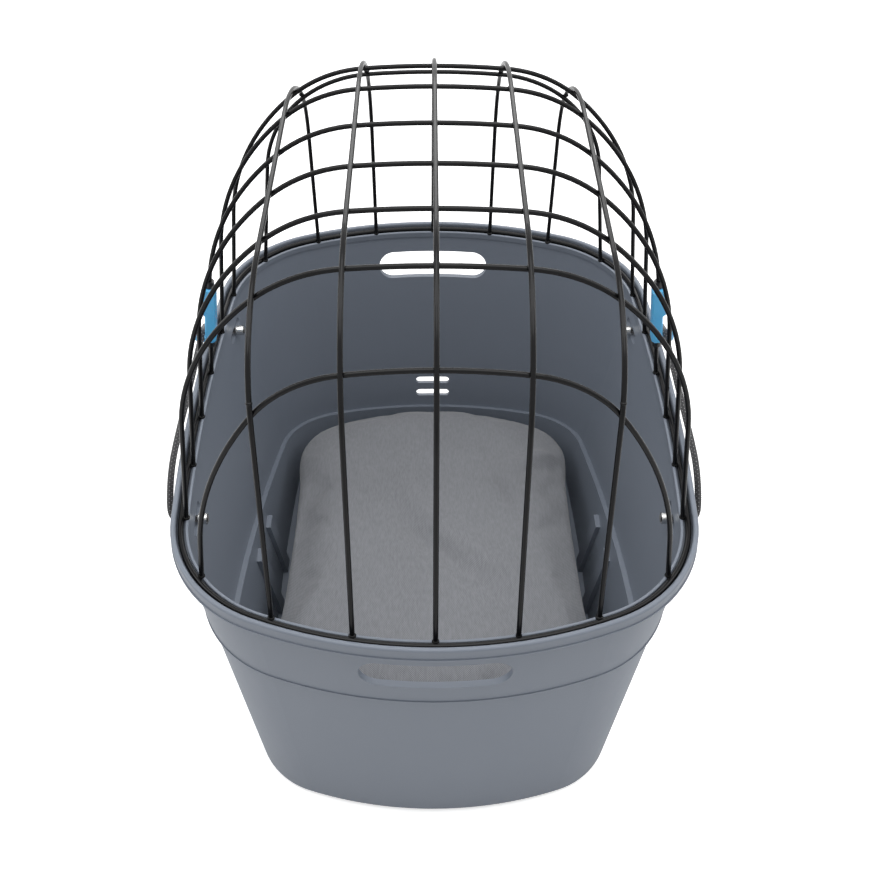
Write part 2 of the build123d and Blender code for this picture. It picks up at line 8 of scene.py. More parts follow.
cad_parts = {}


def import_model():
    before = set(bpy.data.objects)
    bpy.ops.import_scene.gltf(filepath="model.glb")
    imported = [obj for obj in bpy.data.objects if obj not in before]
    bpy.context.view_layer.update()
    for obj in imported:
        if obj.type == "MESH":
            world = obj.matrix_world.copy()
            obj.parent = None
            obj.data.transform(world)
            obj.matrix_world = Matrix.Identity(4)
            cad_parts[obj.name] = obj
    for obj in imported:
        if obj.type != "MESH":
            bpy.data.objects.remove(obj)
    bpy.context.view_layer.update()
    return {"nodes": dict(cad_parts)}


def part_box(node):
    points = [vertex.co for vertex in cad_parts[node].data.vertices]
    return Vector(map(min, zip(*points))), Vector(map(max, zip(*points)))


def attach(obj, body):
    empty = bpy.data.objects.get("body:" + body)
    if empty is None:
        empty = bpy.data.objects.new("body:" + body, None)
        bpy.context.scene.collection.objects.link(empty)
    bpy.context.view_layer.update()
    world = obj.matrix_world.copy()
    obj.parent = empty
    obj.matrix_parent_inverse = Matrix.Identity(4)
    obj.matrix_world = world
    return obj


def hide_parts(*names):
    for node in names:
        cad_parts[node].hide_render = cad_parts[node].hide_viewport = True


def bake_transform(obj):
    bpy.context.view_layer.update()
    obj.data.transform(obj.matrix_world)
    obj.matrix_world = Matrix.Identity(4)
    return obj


# Metres, +Z up, +Y to the back. The tub stands on the floor with its rim's middle above the origin.

# The camera, worked out from the cage's wires: its focal length and picture width in pixels,
# its turn, tilt and roll in degrees, and its place.
PICTURE_WIDTH = 870.0
FOCAL_LENGTH = 1072.6
SENSOR_WIDTH = 36.0
SIDE_SHIFT = -1.0
CAMERA_TURN = -0.6
CAMERA_TILT = 90.0 - 44.6
CAMERA_ROLL = 0.4
CAMERA_PLACE = (-0.0045, -0.5863, 0.760)

# Studio: half the floor's width, its glow to the camera, and the world's strength for diffuse rays.
FLOOR_REACH = 6.0
FLOOR_GLOW = 0.55
WORLD_FILL = 0.62

# Softboxes: place, target, width, depth and power.
SOFTBOXES = {
    "top_softbox": ((0.0, -0.1, 1.7), (0.0, 0.0, 0.2), 1.4, 1.4, 16.0),
    "left_strip": ((-1.3, 0.1, 1.1), (0.0, 0.0, 0.2), 0.5, 1.6, 7.0),
    "right_strip": ((1.3, 0.1, 1.1), (0.0, 0.0, 0.2), 0.5, 1.6, 7.0),
    "back_strip": ((0.0, 1.5, 1.2), (0.0, 0.0, 0.3), 1.6, 0.5, 8.0),
}

LONG_WIRES = 5
ARCH_WIRES = 8
WIRE_PITCH = 0.050
WIRE_DIAMETER = 0.0032
RING_Z = 0.222

LEG_BAND = 0.001
FOOT_BEAD_LIFT = 0.0002
CROSSING_BEAD_RADIUS = 0.0019
FOOT_BEAD_RADIUS = 0.0022
RAY_START = 0.5
MERGE_DISTANCE = 1e-6

CORD_DIAMETER = 0.005
CORD_STRANDS = 8
CORD_LAY = 0.011
TRACER_SHARE = 0.22
ROUTE_STEPS = 24

# The padded cover: remesh size, shrink before it swells, cloth settings and the cap on the swelling.
PAD_VOXEL = 0.005
PAD_SHRINK = (0.975, 0.98, 0.96)
PAD_RELAX_STEPS = 6
PAD_PRESSURE = 4.0
PAD_STIFFNESS = 25.0
PAD_BENDING = 0.6
PAD_MASS = 0.3
PAD_QUALITY = 6
PAD_FRAMES = 20
PAD_CAP = 0.006

# The right-hand cord's route, from its front ferrule out through the wall, over the hook and back in.
CORD_ROUTE = (
    (0.15467, -0.102, 0.202),
    (0.16600, -0.102, 0.202),
    (0.17500, -0.102, 0.202),
    (0.18050, -0.101, 0.203),
    (0.18160, -0.093, 0.211),
    (0.18080, -0.078, 0.2250),
    (0.17950, -0.060, 0.2320),
    (0.17500, -0.020, 0.2447),
    (0.17080, 0.0180, 0.2578),
    (0.16985, 0.0266, 0.2610),
    (0.17060, 0.0345, 0.2570),
    (0.17500, 0.0550, 0.2425),
    (0.18000, 0.0790, 0.2260),
    (0.18080, 0.0960, 0.2080),
    (0.17800, 0.1020, 0.202),
    (0.16600, 0.102, 0.202),
    (0.15467, 0.102, 0.202),
)

# Soft creases in the cushion's cover: plan points, height of the fold and its width.
# A fold shows where the cover faces up: from CREASE_FACING, in full CREASE_FACING_RANGE further on.
CREASE_FACING = 0.45
CREASE_FACING_RANGE = 0.35
CREASES = (
    (
        (
            (-0.045, 0.075), (-0.032, 0.032), (-0.018, -0.009),
            (0.003, -0.034), (0.024, -0.056), (0.063, -0.105),
        ),
        -0.0050,
        0.011,
    ),
    (((-0.030, 0.062), (-0.014, 0.018), (0.010, -0.012), (0.045, -0.045), (0.085, -0.075)), 0.0040, 0.014),
    (((0.060, 0.066), (0.068, 0.040), (0.074, 0.012)), -0.0045, 0.008),
    (((0.064, 0.070), (0.088, 0.082), (0.112, 0.097)), 0.0065, 0.009),
    (((0.082, 0.060), (0.098, 0.074), (0.118, 0.080)), -0.0040, 0.009),
    (((-0.098, 0.050), (-0.108, 0.010), (-0.112, -0.040)), -0.0035, 0.013),
    (((-0.080, -0.060), (-0.100, -0.100), (-0.112, -0.140)), 0.0030, 0.012),
    (((0.020, 0.110), (0.040, 0.070), (0.046, 0.030)), 0.0022, 0.016),
    (((-0.070, 0.110), (-0.060, 0.060), (-0.070, 0.000)), 0.0020, 0.018),
    (((0.090, -0.030), (0.104, -0.090), (0.100, -0.150)), 0.0030, 0.013),
)


# Shader node helpers

def node_at(tree, kind, x, y, **settings):
    node = tree.nodes.new(kind)
    node.location = (x, y)
    for name, value in settings.items():
        setattr(node, name, value)
    return node


def wire_up(tree, source, output, target, socket):
    tree.links.new(source.outputs[output], target.inputs[socket])


def maths(tree, operation, x, y, first, second=None):
    """A maths node; each input is a number or a (node, output) pair."""
    node = node_at(tree, "ShaderNodeMath", x, y, operation=operation)
    for slot, value in enumerate((first, second)):
        if value is None:
            continue
        if isinstance(value, tuple):
            wire_up(tree, value[0], value[1], node, slot)
        else:
            node.inputs[slot].default_value = value
    return node


def new_group(name, inputs, outputs):
    """A shader group: inputs are (name, kind, default), outputs are (name, kind)."""
    tree = bpy.data.node_groups.new(name, "ShaderNodeTree")
    for label, kind, default in inputs:
        socket = tree.interface.new_socket(label, in_out="INPUT", socket_type=kind)
        if default is not None:
            socket.default_value = default
    for label, kind in outputs:
        tree.interface.new_socket(label, in_out="OUTPUT", socket_type=kind)
    start = node_at(tree, "NodeGroupInput", -900, 0)
    end = node_at(tree, "NodeGroupOutput", 900, 0)
    return tree, start, end


def grain_group():
    """Fine moulded or painted grain with a slow change of shade over the piece."""
    tree, start, end = new_group(
        "surface_grain",
        [
            ("Vector", "NodeSocketVector", None),
            ("Colour", "NodeSocketColor", (0.5, 0.5, 0.5, 1.0)),
            ("Grain Scale", "NodeSocketFloat", 900.0),
            ("Cloud Scale", "NodeSocketFloat", 9.0),
            ("Shade Change", "NodeSocketFloat", 0.08),
        ],
        [("Colour", "NodeSocketColor"), ("Height", "NodeSocketFloat"), ("Cloud", "NodeSocketFloat")],
    )
    fine = node_at(tree, "ShaderNodeTexNoise", -600, 200)
    fine.inputs["Detail"].default_value = 3.0
    cloud = node_at(tree, "ShaderNodeTexNoise", -600, -100)
    cloud.inputs["Detail"].default_value = 4.0
    for noise, scale in ((fine, "Grain Scale"), (cloud, "Cloud Scale")):
        wire_up(tree, start, "Vector", noise, "Vector")
        wire_up(tree, start, scale, noise, "Scale")
    centred = maths(tree, "SUBTRACT", -380, -100, (cloud, "Fac"), 0.5)
    change = maths(tree, "MULTIPLY", -200, -100, (centred, 0), (start, "Shade Change"))
    value = maths(tree, "ADD", -20, -100, (change, 0), 1.0)
    hue = node_at(tree, "ShaderNodeHueSaturation", 200, 0)
    wire_up(tree, start, "Colour", hue, "Color")
    wire_up(tree, value, 0, hue, "Value")
    wire_up(tree, hue, "Color", end, "Colour")
    wire_up(tree, fine, "Fac", end, "Height")
    wire_up(tree, cloud, "Fac", end, "Cloud")
    return tree


def weave_group():
    """Plain weave of warp and weft threads, with uneven threads and a melange of two yarns."""
    tree, start, end = new_group(
        "plain_weave",
        [
            ("Vector", "NodeSocketVector", None),
            ("Thread Pitch", "NodeSocketFloat", 0.0009),
            ("Light Yarn", "NodeSocketColor", (0.3, 0.3, 0.3, 1.0)),
            ("Dark Yarn", "NodeSocketColor", (0.1, 0.1, 0.1, 1.0)),
        ],
        [("Colour", "NodeSocketColor"), ("Height", "NodeSocketFloat")],
    )
    split = node_at(tree, "ShaderNodeSeparateXYZ", -700, 0)
    wire_up(tree, start, "Vector", split, "Vector")
    waves = []
    for row, axis in enumerate(("X", "Y")):
        turns = maths(tree, "DIVIDE", -520, 200 - 200 * row, (split, axis), (start, "Thread Pitch"))
        angle = maths(tree, "MULTIPLY", -360, 200 - 200 * row, (turns, 0), math.pi)
        waves.append(maths(tree, "SINE", -200, 200 - 200 * row, (angle, 0)))
    over = maths(tree, "MULTIPLY", -40, 100, (waves[0], 0), (waves[1], 0))
    slub = node_at(tree, "ShaderNodeTexNoise", -520, -300)
    slub.inputs["Scale"].default_value = 700.0
    slub.inputs["Detail"].default_value = 2.0
    stretched = node_at(tree, "ShaderNodeMapping", -700, -300)
    stretched.inputs["Scale"].default_value = (1.0, 0.18, 1.0)
    wire_up(tree, start, "Vector", stretched, "Vector")
    wire_up(tree, stretched, "Vector", slub, "Vector")
    uneven = maths(tree, "MULTIPLY", 120, -100, (slub, "Fac"), 0.8)
    raised = maths(tree, "MULTIPLY", 120, 100, (over, 0), 0.5)
    height = maths(tree, "ADD", 300, 0, (raised, 0), (uneven, 0))
    spread = node_at(tree, "ShaderNodeMapRange", 480, -100)
    spread.inputs["From Min"].default_value = -0.1
    spread.inputs["From Max"].default_value = 0.9
    wire_up(tree, height, 0, spread, "Value")
    mix = node_at(tree, "ShaderNodeMix", 660, -100, data_type="RGBA")
    wire_up(tree, spread, "Result", mix, "Factor")
    wire_up(tree, start, "Dark Yarn", mix, "A")
    wire_up(tree, start, "Light Yarn", mix, "B")
    tree.links.new(mix.outputs["Result"], end.inputs["Colour"])
    wire_up(tree, height, 0, end, "Height")
    return tree


def new_material(name, roughness, **sockets):
    material = bpy.data.materials.new(name)
    material.use_nodes = True
    tree = material.node_tree
    shader = tree.nodes["Principled BSDF"]
    shader.location = (600, 0)
    tree.nodes["Material Output"].location = (900, 0)
    shader.inputs["Roughness"].default_value = roughness
    for label, value in sockets.items():
        shader.inputs[label.replace("_", " ")].default_value = value
    place = node_at(tree, "ShaderNodeTexCoord", -900, 0)
    return material, tree, shader, place


def add_bump(tree, shader, source, output, strength, distance):
    bump = node_at(tree, "ShaderNodeBump", 380, -260)
    bump.inputs["Strength"].default_value = strength
    bump.inputs["Distance"].default_value = distance
    wire_up(tree, source, output, bump, "Height")
    wire_up(tree, bump, "Normal", shader, "Normal")


def grain_material(name, grain, colour, roughness, scale, cloud, change, bump, **sockets):
    """A moulded, painted or metal finish with its own grain and clouding."""
    material, tree, shader, place = new_material(name, roughness, **sockets)
    effect = node_at(tree, "ShaderNodeGroup", -300, 0, node_tree=grain)
    wire_up(tree, place, "Object", effect, "Vector")
    effect.inputs["Colour"].default_value = (*colour, 1.0)
    effect.inputs["Grain Scale"].default_value = scale
    effect.inputs["Cloud Scale"].default_value = cloud
    effect.inputs["Shade Change"].default_value = change
    wire_up(tree, effect, "Colour", shader, "Base Color")
    rough = node_at(tree, "ShaderNodeMapRange", 100, -120)
    rough.inputs["To Min"].default_value = roughness * 0.85
    rough.inputs["To Max"].default_value = roughness * 1.15
    wire_up(tree, effect, "Cloud", rough, "Value")
    wire_up(tree, rough, "Result", shader, "Roughness")
    add_bump(tree, shader, effect, "Height", bump, 0.0004)
    return material


def cover_material(weave, grain):
    """The cushion's woven cover; its weave is laid in plan from the object's X and Y, so it stretches on
    the sides.
    """
    material, tree, shader, place = new_material(
        "cushion_cover", 0.92, Sheen_Weight=0.25, Sheen_Roughness=0.5
    )
    shader.inputs["Specular IOR Level"].default_value = 0.25
    effect = node_at(tree, "ShaderNodeGroup", -100, 0, node_tree=weave)
    effect.inputs["Light Yarn"].default_value = (0.250, 0.256, 0.272, 1.0)
    effect.inputs["Dark Yarn"].default_value = (0.135, 0.140, 0.152, 1.0)
    effect.inputs["Thread Pitch"].default_value = 0.0008
    wire_up(tree, place, "Object", effect, "Vector")
    cloud = node_at(tree, "ShaderNodeGroup", 200, 120, node_tree=grain)
    cloud.inputs["Cloud Scale"].default_value = 14.0
    cloud.inputs["Shade Change"].default_value = 0.16
    wire_up(tree, place, "Object", cloud, "Vector")
    wire_up(tree, effect, "Colour", cloud, "Colour")
    wire_up(tree, cloud, "Colour", shader, "Base Color")
    add_bump(tree, shader, effect, "Height", 0.35, 0.0003)
    return material


def braid_material():
    """Black braid with light tracer yarns, read from the cord's own turn and run."""
    material, tree, shader, place = new_material("elastic_braid", 0.7, Sheen_Weight=0.3)
    run = node_at(tree, "ShaderNodeAttribute", -800, 200, attribute_name="braid_run")
    turn = node_at(tree, "ShaderNodeAttribute", -800, -100, attribute_name="braid_turn")
    along = maths(tree, "DIVIDE", -600, 200, (run, "Fac"), CORD_LAY)
    picks = []
    for row, sign in enumerate((1.0, -1.0)):
        signed = maths(tree, "MULTIPLY", -440, 200 - 200 * row, (turn, "Fac"), sign)
        lane = maths(tree, "ADD", -280, 200 - 200 * row, (signed, 0), (along, 0))
        strand = maths(tree, "MULTIPLY", -120, 200 - 200 * row, (lane, 0), CORD_STRANDS / 2)
        part = maths(tree, "FRACT", 40, 200 - 200 * row, (strand, 0))
        picks.append(maths(tree, "LESS_THAN", 200, 200 - 200 * row, (part, 0), TRACER_SHARE))
    both = maths(tree, "MULTIPLY", 340, 100, (picks[0], 0), (picks[1], 0))
    mix = node_at(tree, "ShaderNodeMix", 460, 0, data_type="RGBA")
    mix.inputs["A"].default_value = (0.016, 0.016, 0.018, 1.0)
    mix.inputs["B"].default_value = (0.30, 0.30, 0.31, 1.0)
    wire_up(tree, both, 0, mix, "Factor")
    tree.links.new(mix.outputs["Result"], shader.inputs["Base Color"])
    fibre = node_at(tree, "ShaderNodeTexNoise", 100, -300)
    fibre.inputs["Scale"].default_value = 2600.0
    wire_up(tree, place, "Object", fibre, "Vector")
    add_bump(tree, shader, fibre, "Fac", 0.3, 0.0002)
    return material


# Geometry node helpers

def new_geometry_tree(name, inputs):
    tree = bpy.data.node_groups.new(name, "GeometryNodeTree")
    tree.interface.new_socket("Geometry", in_out="INPUT", socket_type="NodeSocketGeometry")
    for label, kind, default in inputs:
        socket = tree.interface.new_socket(label, in_out="INPUT", socket_type=kind)
        if default is not None:
            socket.default_value = default
    tree.interface.new_socket("Geometry", in_out="OUTPUT", socket_type="NodeSocketGeometry")
    start = node_at(tree, "NodeGroupInput", -1200, 0)
    end = node_at(tree, "NodeGroupOutput", 1400, 0)
    return tree, start, end


def finish_tree(tree, node, output, start, end):
    """Every tree ends in real geometry with its material set."""
    real = node_at(tree, "GeometryNodeRealizeInstances", 1000, 0)
    painted = node_at(tree, "GeometryNodeSetMaterial", 1200, 0)
    wire_up(tree, node, output, real, "Geometry")
    wire_up(tree, real, "Geometry", painted, "Geometry")
    wire_up(tree, start, "Material", painted, "Material")
    wire_up(tree, painted, "Geometry", end, "Geometry")


def run_tree(source, tree, name, **values):
    """Apply a tree to an object and return the result as a plain mesh piece."""
    modifier = source.modifiers.new(tree.name, "NODES")
    modifier.node_group = tree
    for item in tree.interface.items_tree:
        if item.in_out == "INPUT" and item.name in values:
            modifier[item.identifier] = values[item.name]
    graph = bpy.context.evaluated_depsgraph_get()
    mesh = bpy.data.meshes.new_from_object(source.evaluated_get(graph))
    mesh.name = name
    piece = new_piece(name, mesh)
    bpy.data.objects.remove(source)
    return piece


def braid_tree():
    """A braided cord along a curve: a round section whose surface rises where a strand runs over."""
    tree, start, end = new_geometry_tree(
        "braided_cord",
        [
            ("Radius", "NodeSocketFloat", CORD_DIAMETER / 2),
            ("Lay", "NodeSocketFloat", CORD_LAY),
            ("Strands", "NodeSocketFloat", float(CORD_STRANDS)),
            ("Relief", "NodeSocketFloat", 0.00028),
            ("Step", "NodeSocketFloat", 0.0006),
            ("Sides", "NodeSocketInt", 40),
            ("Material", "NodeSocketMaterial", None),
        ],
    )
    fine = node_at(tree, "GeometryNodeResampleCurve", -1000, 200)
    fine.mode = "LENGTH"
    wire_up(tree, start, "Geometry", fine, "Curve")
    wire_up(tree, start, "Step", fine, "Length")
    place = node_at(tree, "GeometryNodeSplineParameter", -1000, 0)
    keep_run = node_at(tree, "GeometryNodeStoreNamedAttribute", -800, 200, data_type="FLOAT")
    keep_run.domain = "POINT"
    keep_run.inputs["Name"].default_value = "braid_run"
    wire_up(tree, fine, "Curve", keep_run, "Geometry")
    wire_up(tree, place, "Length", keep_run, "Value")
    ring = node_at(tree, "GeometryNodeCurvePrimitiveCircle", -1000, -200)
    wire_up(tree, start, "Sides", ring, "Resolution")
    wire_up(tree, start, "Radius", ring, "Radius")
    keep_turn = node_at(tree, "GeometryNodeStoreNamedAttribute", -800, -200, data_type="FLOAT")
    keep_turn.domain = "POINT"
    keep_turn.inputs["Name"].default_value = "braid_turn"
    wire_up(tree, ring, "Curve", keep_turn, "Geometry")
    wire_up(tree, place, "Factor", keep_turn, "Value")
    tube = node_at(tree, "GeometryNodeCurveToMesh", -600, 0)
    tube.inputs["Fill Caps"].default_value = True
    wire_up(tree, keep_run, "Geometry", tube, "Curve")
    wire_up(tree, keep_turn, "Geometry", tube, "Profile Curve")
    run = node_at(tree, "GeometryNodeInputNamedAttribute", -600, -250, data_type="FLOAT")
    run.inputs["Name"].default_value = "braid_run"
    turn = node_at(tree, "GeometryNodeInputNamedAttribute", -600, -400, data_type="FLOAT")
    turn.inputs["Name"].default_value = "braid_turn"
    along = maths(tree, "DIVIDE", -400, -250, (run, "Attribute"), (start, "Lay"))
    ridges = []
    for row, sign in enumerate((1.0, -1.0)):
        signed = maths(tree, "MULTIPLY", -400, -400 - 150 * row, (turn, "Attribute"), sign)
        lane = maths(tree, "ADD", -240, -400 - 150 * row, (signed, 0), (along, 0))
        strands = maths(tree, "MULTIPLY", -80, -400 - 150 * row, (lane, 0), (start, "Strands"))
        angle = maths(tree, "MULTIPLY", 80, -400 - 150 * row, (strands, 0), math.pi)
        ridges.append(maths(tree, "SINE", 240, -400 - 150 * row, (angle, 0)))
    crossed = maths(tree, "MULTIPLY", 400, -450, (ridges[0], 0), (ridges[1], 0))
    raised = maths(tree, "MULTIPLY", 560, -450, (crossed, 0), (start, "Relief"))
    sunk = maths(tree, "SUBTRACT", 700, -450, (raised, 0), (start, "Relief"))
    normal = node_at(tree, "GeometryNodeInputNormal", 400, -250)
    push = node_at(tree, "ShaderNodeVectorMath", 700, -250, operation="SCALE")
    wire_up(tree, normal, "Normal", push, "Vector")
    wire_up(tree, sunk, 0, push, "Scale")
    moved = node_at(tree, "GeometryNodeSetPosition", 860, 0)
    wire_up(tree, tube, "Mesh", moved, "Geometry")
    wire_up(tree, push, "Vector", moved, "Offset")
    finish_tree(tree, moved, "Geometry", start, end)
    return tree


def bead_tree():
    """A small uneven weld bead on every point."""
    tree, start, end = new_geometry_tree(
        "weld_beads",
        [
            ("Radius", "NodeSocketFloat", 0.0021),
            ("Flatness", "NodeSocketFloat", 0.75),
            ("Seed", "NodeSocketInt", 4),
            ("Material", "NodeSocketMaterial", None),
        ],
    )
    bead = node_at(tree, "GeometryNodeMeshIcoSphere", -900, -200)
    bead.inputs["Subdivisions"].default_value = 3
    wire_up(tree, start, "Radius", bead, "Radius")
    smooth = node_at(tree, "GeometryNodeSetShadeSmooth", -700, -200)
    wire_up(tree, bead, "Mesh", smooth, "Geometry")
    size = node_at(tree, "FunctionNodeRandomValue", -700, -400, data_type="FLOAT")
    size.inputs[2].default_value = 0.85
    size.inputs[3].default_value = 1.15
    wire_up(tree, start, "Seed", size, "Seed")
    shape = node_at(tree, "ShaderNodeCombineXYZ", -500, -400)
    for label in ("X", "Y"):
        tree.links.new(size.outputs[1], shape.inputs[label])
    wire_up(tree, start, "Flatness", shape, "Z")
    spread = node_at(tree, "GeometryNodeInstanceOnPoints", -200, 0)
    wire_up(tree, start, "Geometry", spread, "Points")
    wire_up(tree, smooth, "Geometry", spread, "Instance")
    wire_up(tree, shape, "Vector", spread, "Scale")
    finish_tree(tree, spread, "Instances", start, end)
    return tree


# Mesh helpers

def new_piece(name, mesh):
    piece = bpy.data.objects.new(name, mesh)
    bpy.context.scene.collection.objects.link(piece)
    return piece


def smooth_faces(mesh):
    mesh.polygons.foreach_set("use_smooth", [True] * len(mesh.polygons))
    mesh.update()


def paint(piece, material):
    piece.data.materials.clear()
    piece.data.materials.append(material)


def merged_copy(node, name):
    """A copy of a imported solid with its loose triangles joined."""
    mesh = node.data.copy()
    work = bmesh.new()
    work.from_mesh(mesh)
    bmesh.ops.remove_doubles(work, verts=work.verts, dist=MERGE_DISTANCE)
    bmesh.ops.recalc_face_normals(work, faces=work.faces)
    work.to_mesh(mesh)
    work.free()
    mesh.materials.clear()
    return new_piece(name, mesh)


def bake_modifiers(piece):
    graph = bpy.context.evaluated_depsgraph_get()
    mesh = bpy.data.meshes.new_from_object(piece.evaluated_get(graph))
    piece.modifiers.clear()
    piece.data = mesh


def surface_tree(*nodes):
    """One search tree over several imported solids."""
    corners, faces = [], []
    for node in nodes:
        first = len(corners)
        corners += [vertex.co.copy() for vertex in node.data.vertices]
        faces += [[first + index for index in face.vertices] for face in node.data.polygons]
    return BVHTree.FromPolygons(corners, faces)


# Pieces

def spline_points(route):
    """The smooth line that a route's control points draw."""
    curve = bpy.data.curves.new("route", "CURVE")
    curve.dimensions = "3D"
    curve.resolution_u = ROUTE_STEPS
    spline = curve.splines.new("NURBS")
    spline.points.add(len(route) - 1)
    for point, place in zip(spline.points, route):
        point.co = (*place, 1.0)
    spline.order_u = 3
    spline.use_endpoint_u = True
    piece = new_piece("route", curve)
    graph = bpy.context.evaluated_depsgraph_get()
    mesh = bpy.data.meshes.new_from_object(piece.evaluated_get(graph))
    points = [vertex.co.copy() for vertex in mesh.vertices]
    bpy.data.meshes.remove(mesh)
    bpy.data.objects.remove(piece)
    return points


def curve_through(points, name):
    curve = bpy.data.curves.new(name, "CURVE")
    curve.dimensions = "3D"
    spline = curve.splines.new("POLY")
    spline.points.add(len(points) - 1)
    for point, place in zip(spline.points, points):
        point.co = (*place, 1.0)
    return new_piece(name, curve)


def make_cord(name, side, tree, material):
    route = [(side * x, y, z) for x, y, z in CORD_ROUTE]
    line = curve_through(spline_points(route), name + "_line")
    cord = run_tree(line, tree, name, Material=material)
    smooth_faces(cord.data)
    return cord


def weld_places(frame):
    """Where each crosswise wire meets a lengthwise one."""
    nodes = frame["nodes"]
    places = []
    for column in range(LONG_WIRES):
        lengthwise = surface_tree(nodes[f"long_wire_{column + 1}"])
        x = (column - (LONG_WIRES - 1) / 2) * WIRE_PITCH
        for number in range(1, ARCH_WIRES + 1):
            low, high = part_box(f"arch_wire_{number}")
            y = (low.y + high.y) / 2
            hit = lengthwise.ray_cast(Vector((x, y, RAY_START)), Vector((0, 0, -1)))[0]
            if hit is not None:
                places.append(hit - Vector((0, 0, WIRE_DIAMETER)))
    return places


def ring_feet(frame):
    """Where every leg stands on the ring: the lowest vertices of each wire, one cluster a leg."""
    places = []
    names = [f"long_wire_{n + 1}" for n in range(LONG_WIRES)]
    names += [f"arch_wire_{n + 1}" for n in range(ARCH_WIRES)]
    for name in names:
        points = [vertex.co for vertex in frame["nodes"][name].data.vertices]
        lengthwise = name.startswith("long")
        for sign in (-1, 1):
            low = [p for p in points if p.z < RING_Z + LEG_BAND]
            leg = [p for p in low if sign * (p.y if lengthwise else p.x) > 0]
            middle = sum(leg, Vector()) / len(leg)
            places.append(Vector((middle.x, middle.y, RING_Z + FOOT_BEAD_LIFT)))
    return places


def make_beads(name, places, tree, material, radius):
    mesh = bpy.data.meshes.new(name + "_points")
    mesh.from_pydata([tuple(place) for place in places], [], [])
    beads = run_tree(new_piece(name + "_points", mesh), tree, name, Material=material, Radius=radius)
    smooth_faces(beads.data)
    return beads


def distance_to_run(x, y, run):
    """Distance in plan to a broken line, with the share of the way along it."""
    best = (1.0, 0.0)
    for index in range(len(run) - 1):
        (ax, ay), (bx, by) = run[index], run[index + 1]
        dx, dy = bx - ax, by - ay
        share = max(0.0, min(1.0, ((x - ax) * dx + (y - ay) * dy) / (dx * dx + dy * dy)))
        gap = math.hypot(x - ax - share * dx, y - ay - share * dy)
        best = min(best, (gap, (index + share) / (len(run) - 1)))
    return best


def lay_creases(piece):
    """Press the cover's folds into the upper side, deepest half way along each fold."""
    upward = [vertex.normal.z for vertex in piece.data.vertices]
    for vertex, facing in zip(piece.data.vertices, upward):
        level = max(0.0, min(1.0, (facing - CREASE_FACING) / CREASE_FACING_RANGE))
        if level == 0.0:
            continue
        lift = 0.0
        for run, height, width in CREASES:
            gap, share = distance_to_run(vertex.co.x, vertex.co.y, run)
            if gap < 3 * width:
                lift += height * math.exp(-((gap / width) ** 2)) * math.sin(math.pi * (0.08 + 0.84 * share))
        vertex.co.z += level * lift


def blow_up(piece, cap):
    """Swell the pad as cloth under pressure, and hold every point within a cap of where it was."""
    scene = bpy.context.scene
    cloth = piece.modifiers.new("Cloth", "CLOTH")
    settings = cloth.settings
    settings.use_pressure = True
    settings.uniform_pressure_force = PAD_PRESSURE
    settings.effector_weights.gravity = 0.0
    settings.tension_stiffness = PAD_STIFFNESS
    settings.bending_stiffness = PAD_BENDING
    settings.mass = PAD_MASS
    settings.quality = PAD_QUALITY
    cloth.collision_settings.use_collision = False
    cloth.point_cache.frame_start = 1
    cloth.point_cache.frame_end = PAD_FRAMES
    before = [vertex.co.copy() for vertex in piece.data.vertices]
    for step in range(1, PAD_FRAMES + 1):
        scene.frame_set(step)
    bake_modifiers(piece)
    for vertex, home in zip(piece.data.vertices, before):
        shift = vertex.co - home
        if shift.length > cap:
            vertex.co = home + shift * (cap / shift.length)
    scene.frame_set(1)


def make_cushion(frame, material):
    cushion = merged_copy(frame["nodes"]["cushion"], "padded_cushion")
    low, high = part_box("cushion")
    remesh = cushion.modifiers.new("Remesh", "REMESH")
    remesh.mode = "VOXEL"
    remesh.voxel_size = PAD_VOXEL
    bake_modifiers(cushion)
    middle = (low + high) / 2
    for vertex in cushion.data.vertices:
        vertex.co.x = middle.x + (vertex.co.x - middle.x) * PAD_SHRINK[0]
        vertex.co.y = middle.y + (vertex.co.y - middle.y) * PAD_SHRINK[1]
        vertex.co.z = low.z + (vertex.co.z - low.z) * PAD_SHRINK[2]
    relax = cushion.modifiers.new("Relax", "SMOOTH")
    relax.iterations = PAD_RELAX_STEPS
    bake_modifiers(cushion)
    blow_up(cushion, PAD_CAP)
    lay_creases(cushion)
    finer = cushion.modifiers.new("Finer", "SUBSURF")
    finer.levels = 1
    finer.render_levels = 1
    bake_modifiers(cushion)
    for vertex in cushion.data.vertices:
        vertex.co.z = max(vertex.co.z, low.z)
    smooth_faces(cushion.data)
    paint(cushion, material)
    return cushion


# Stage

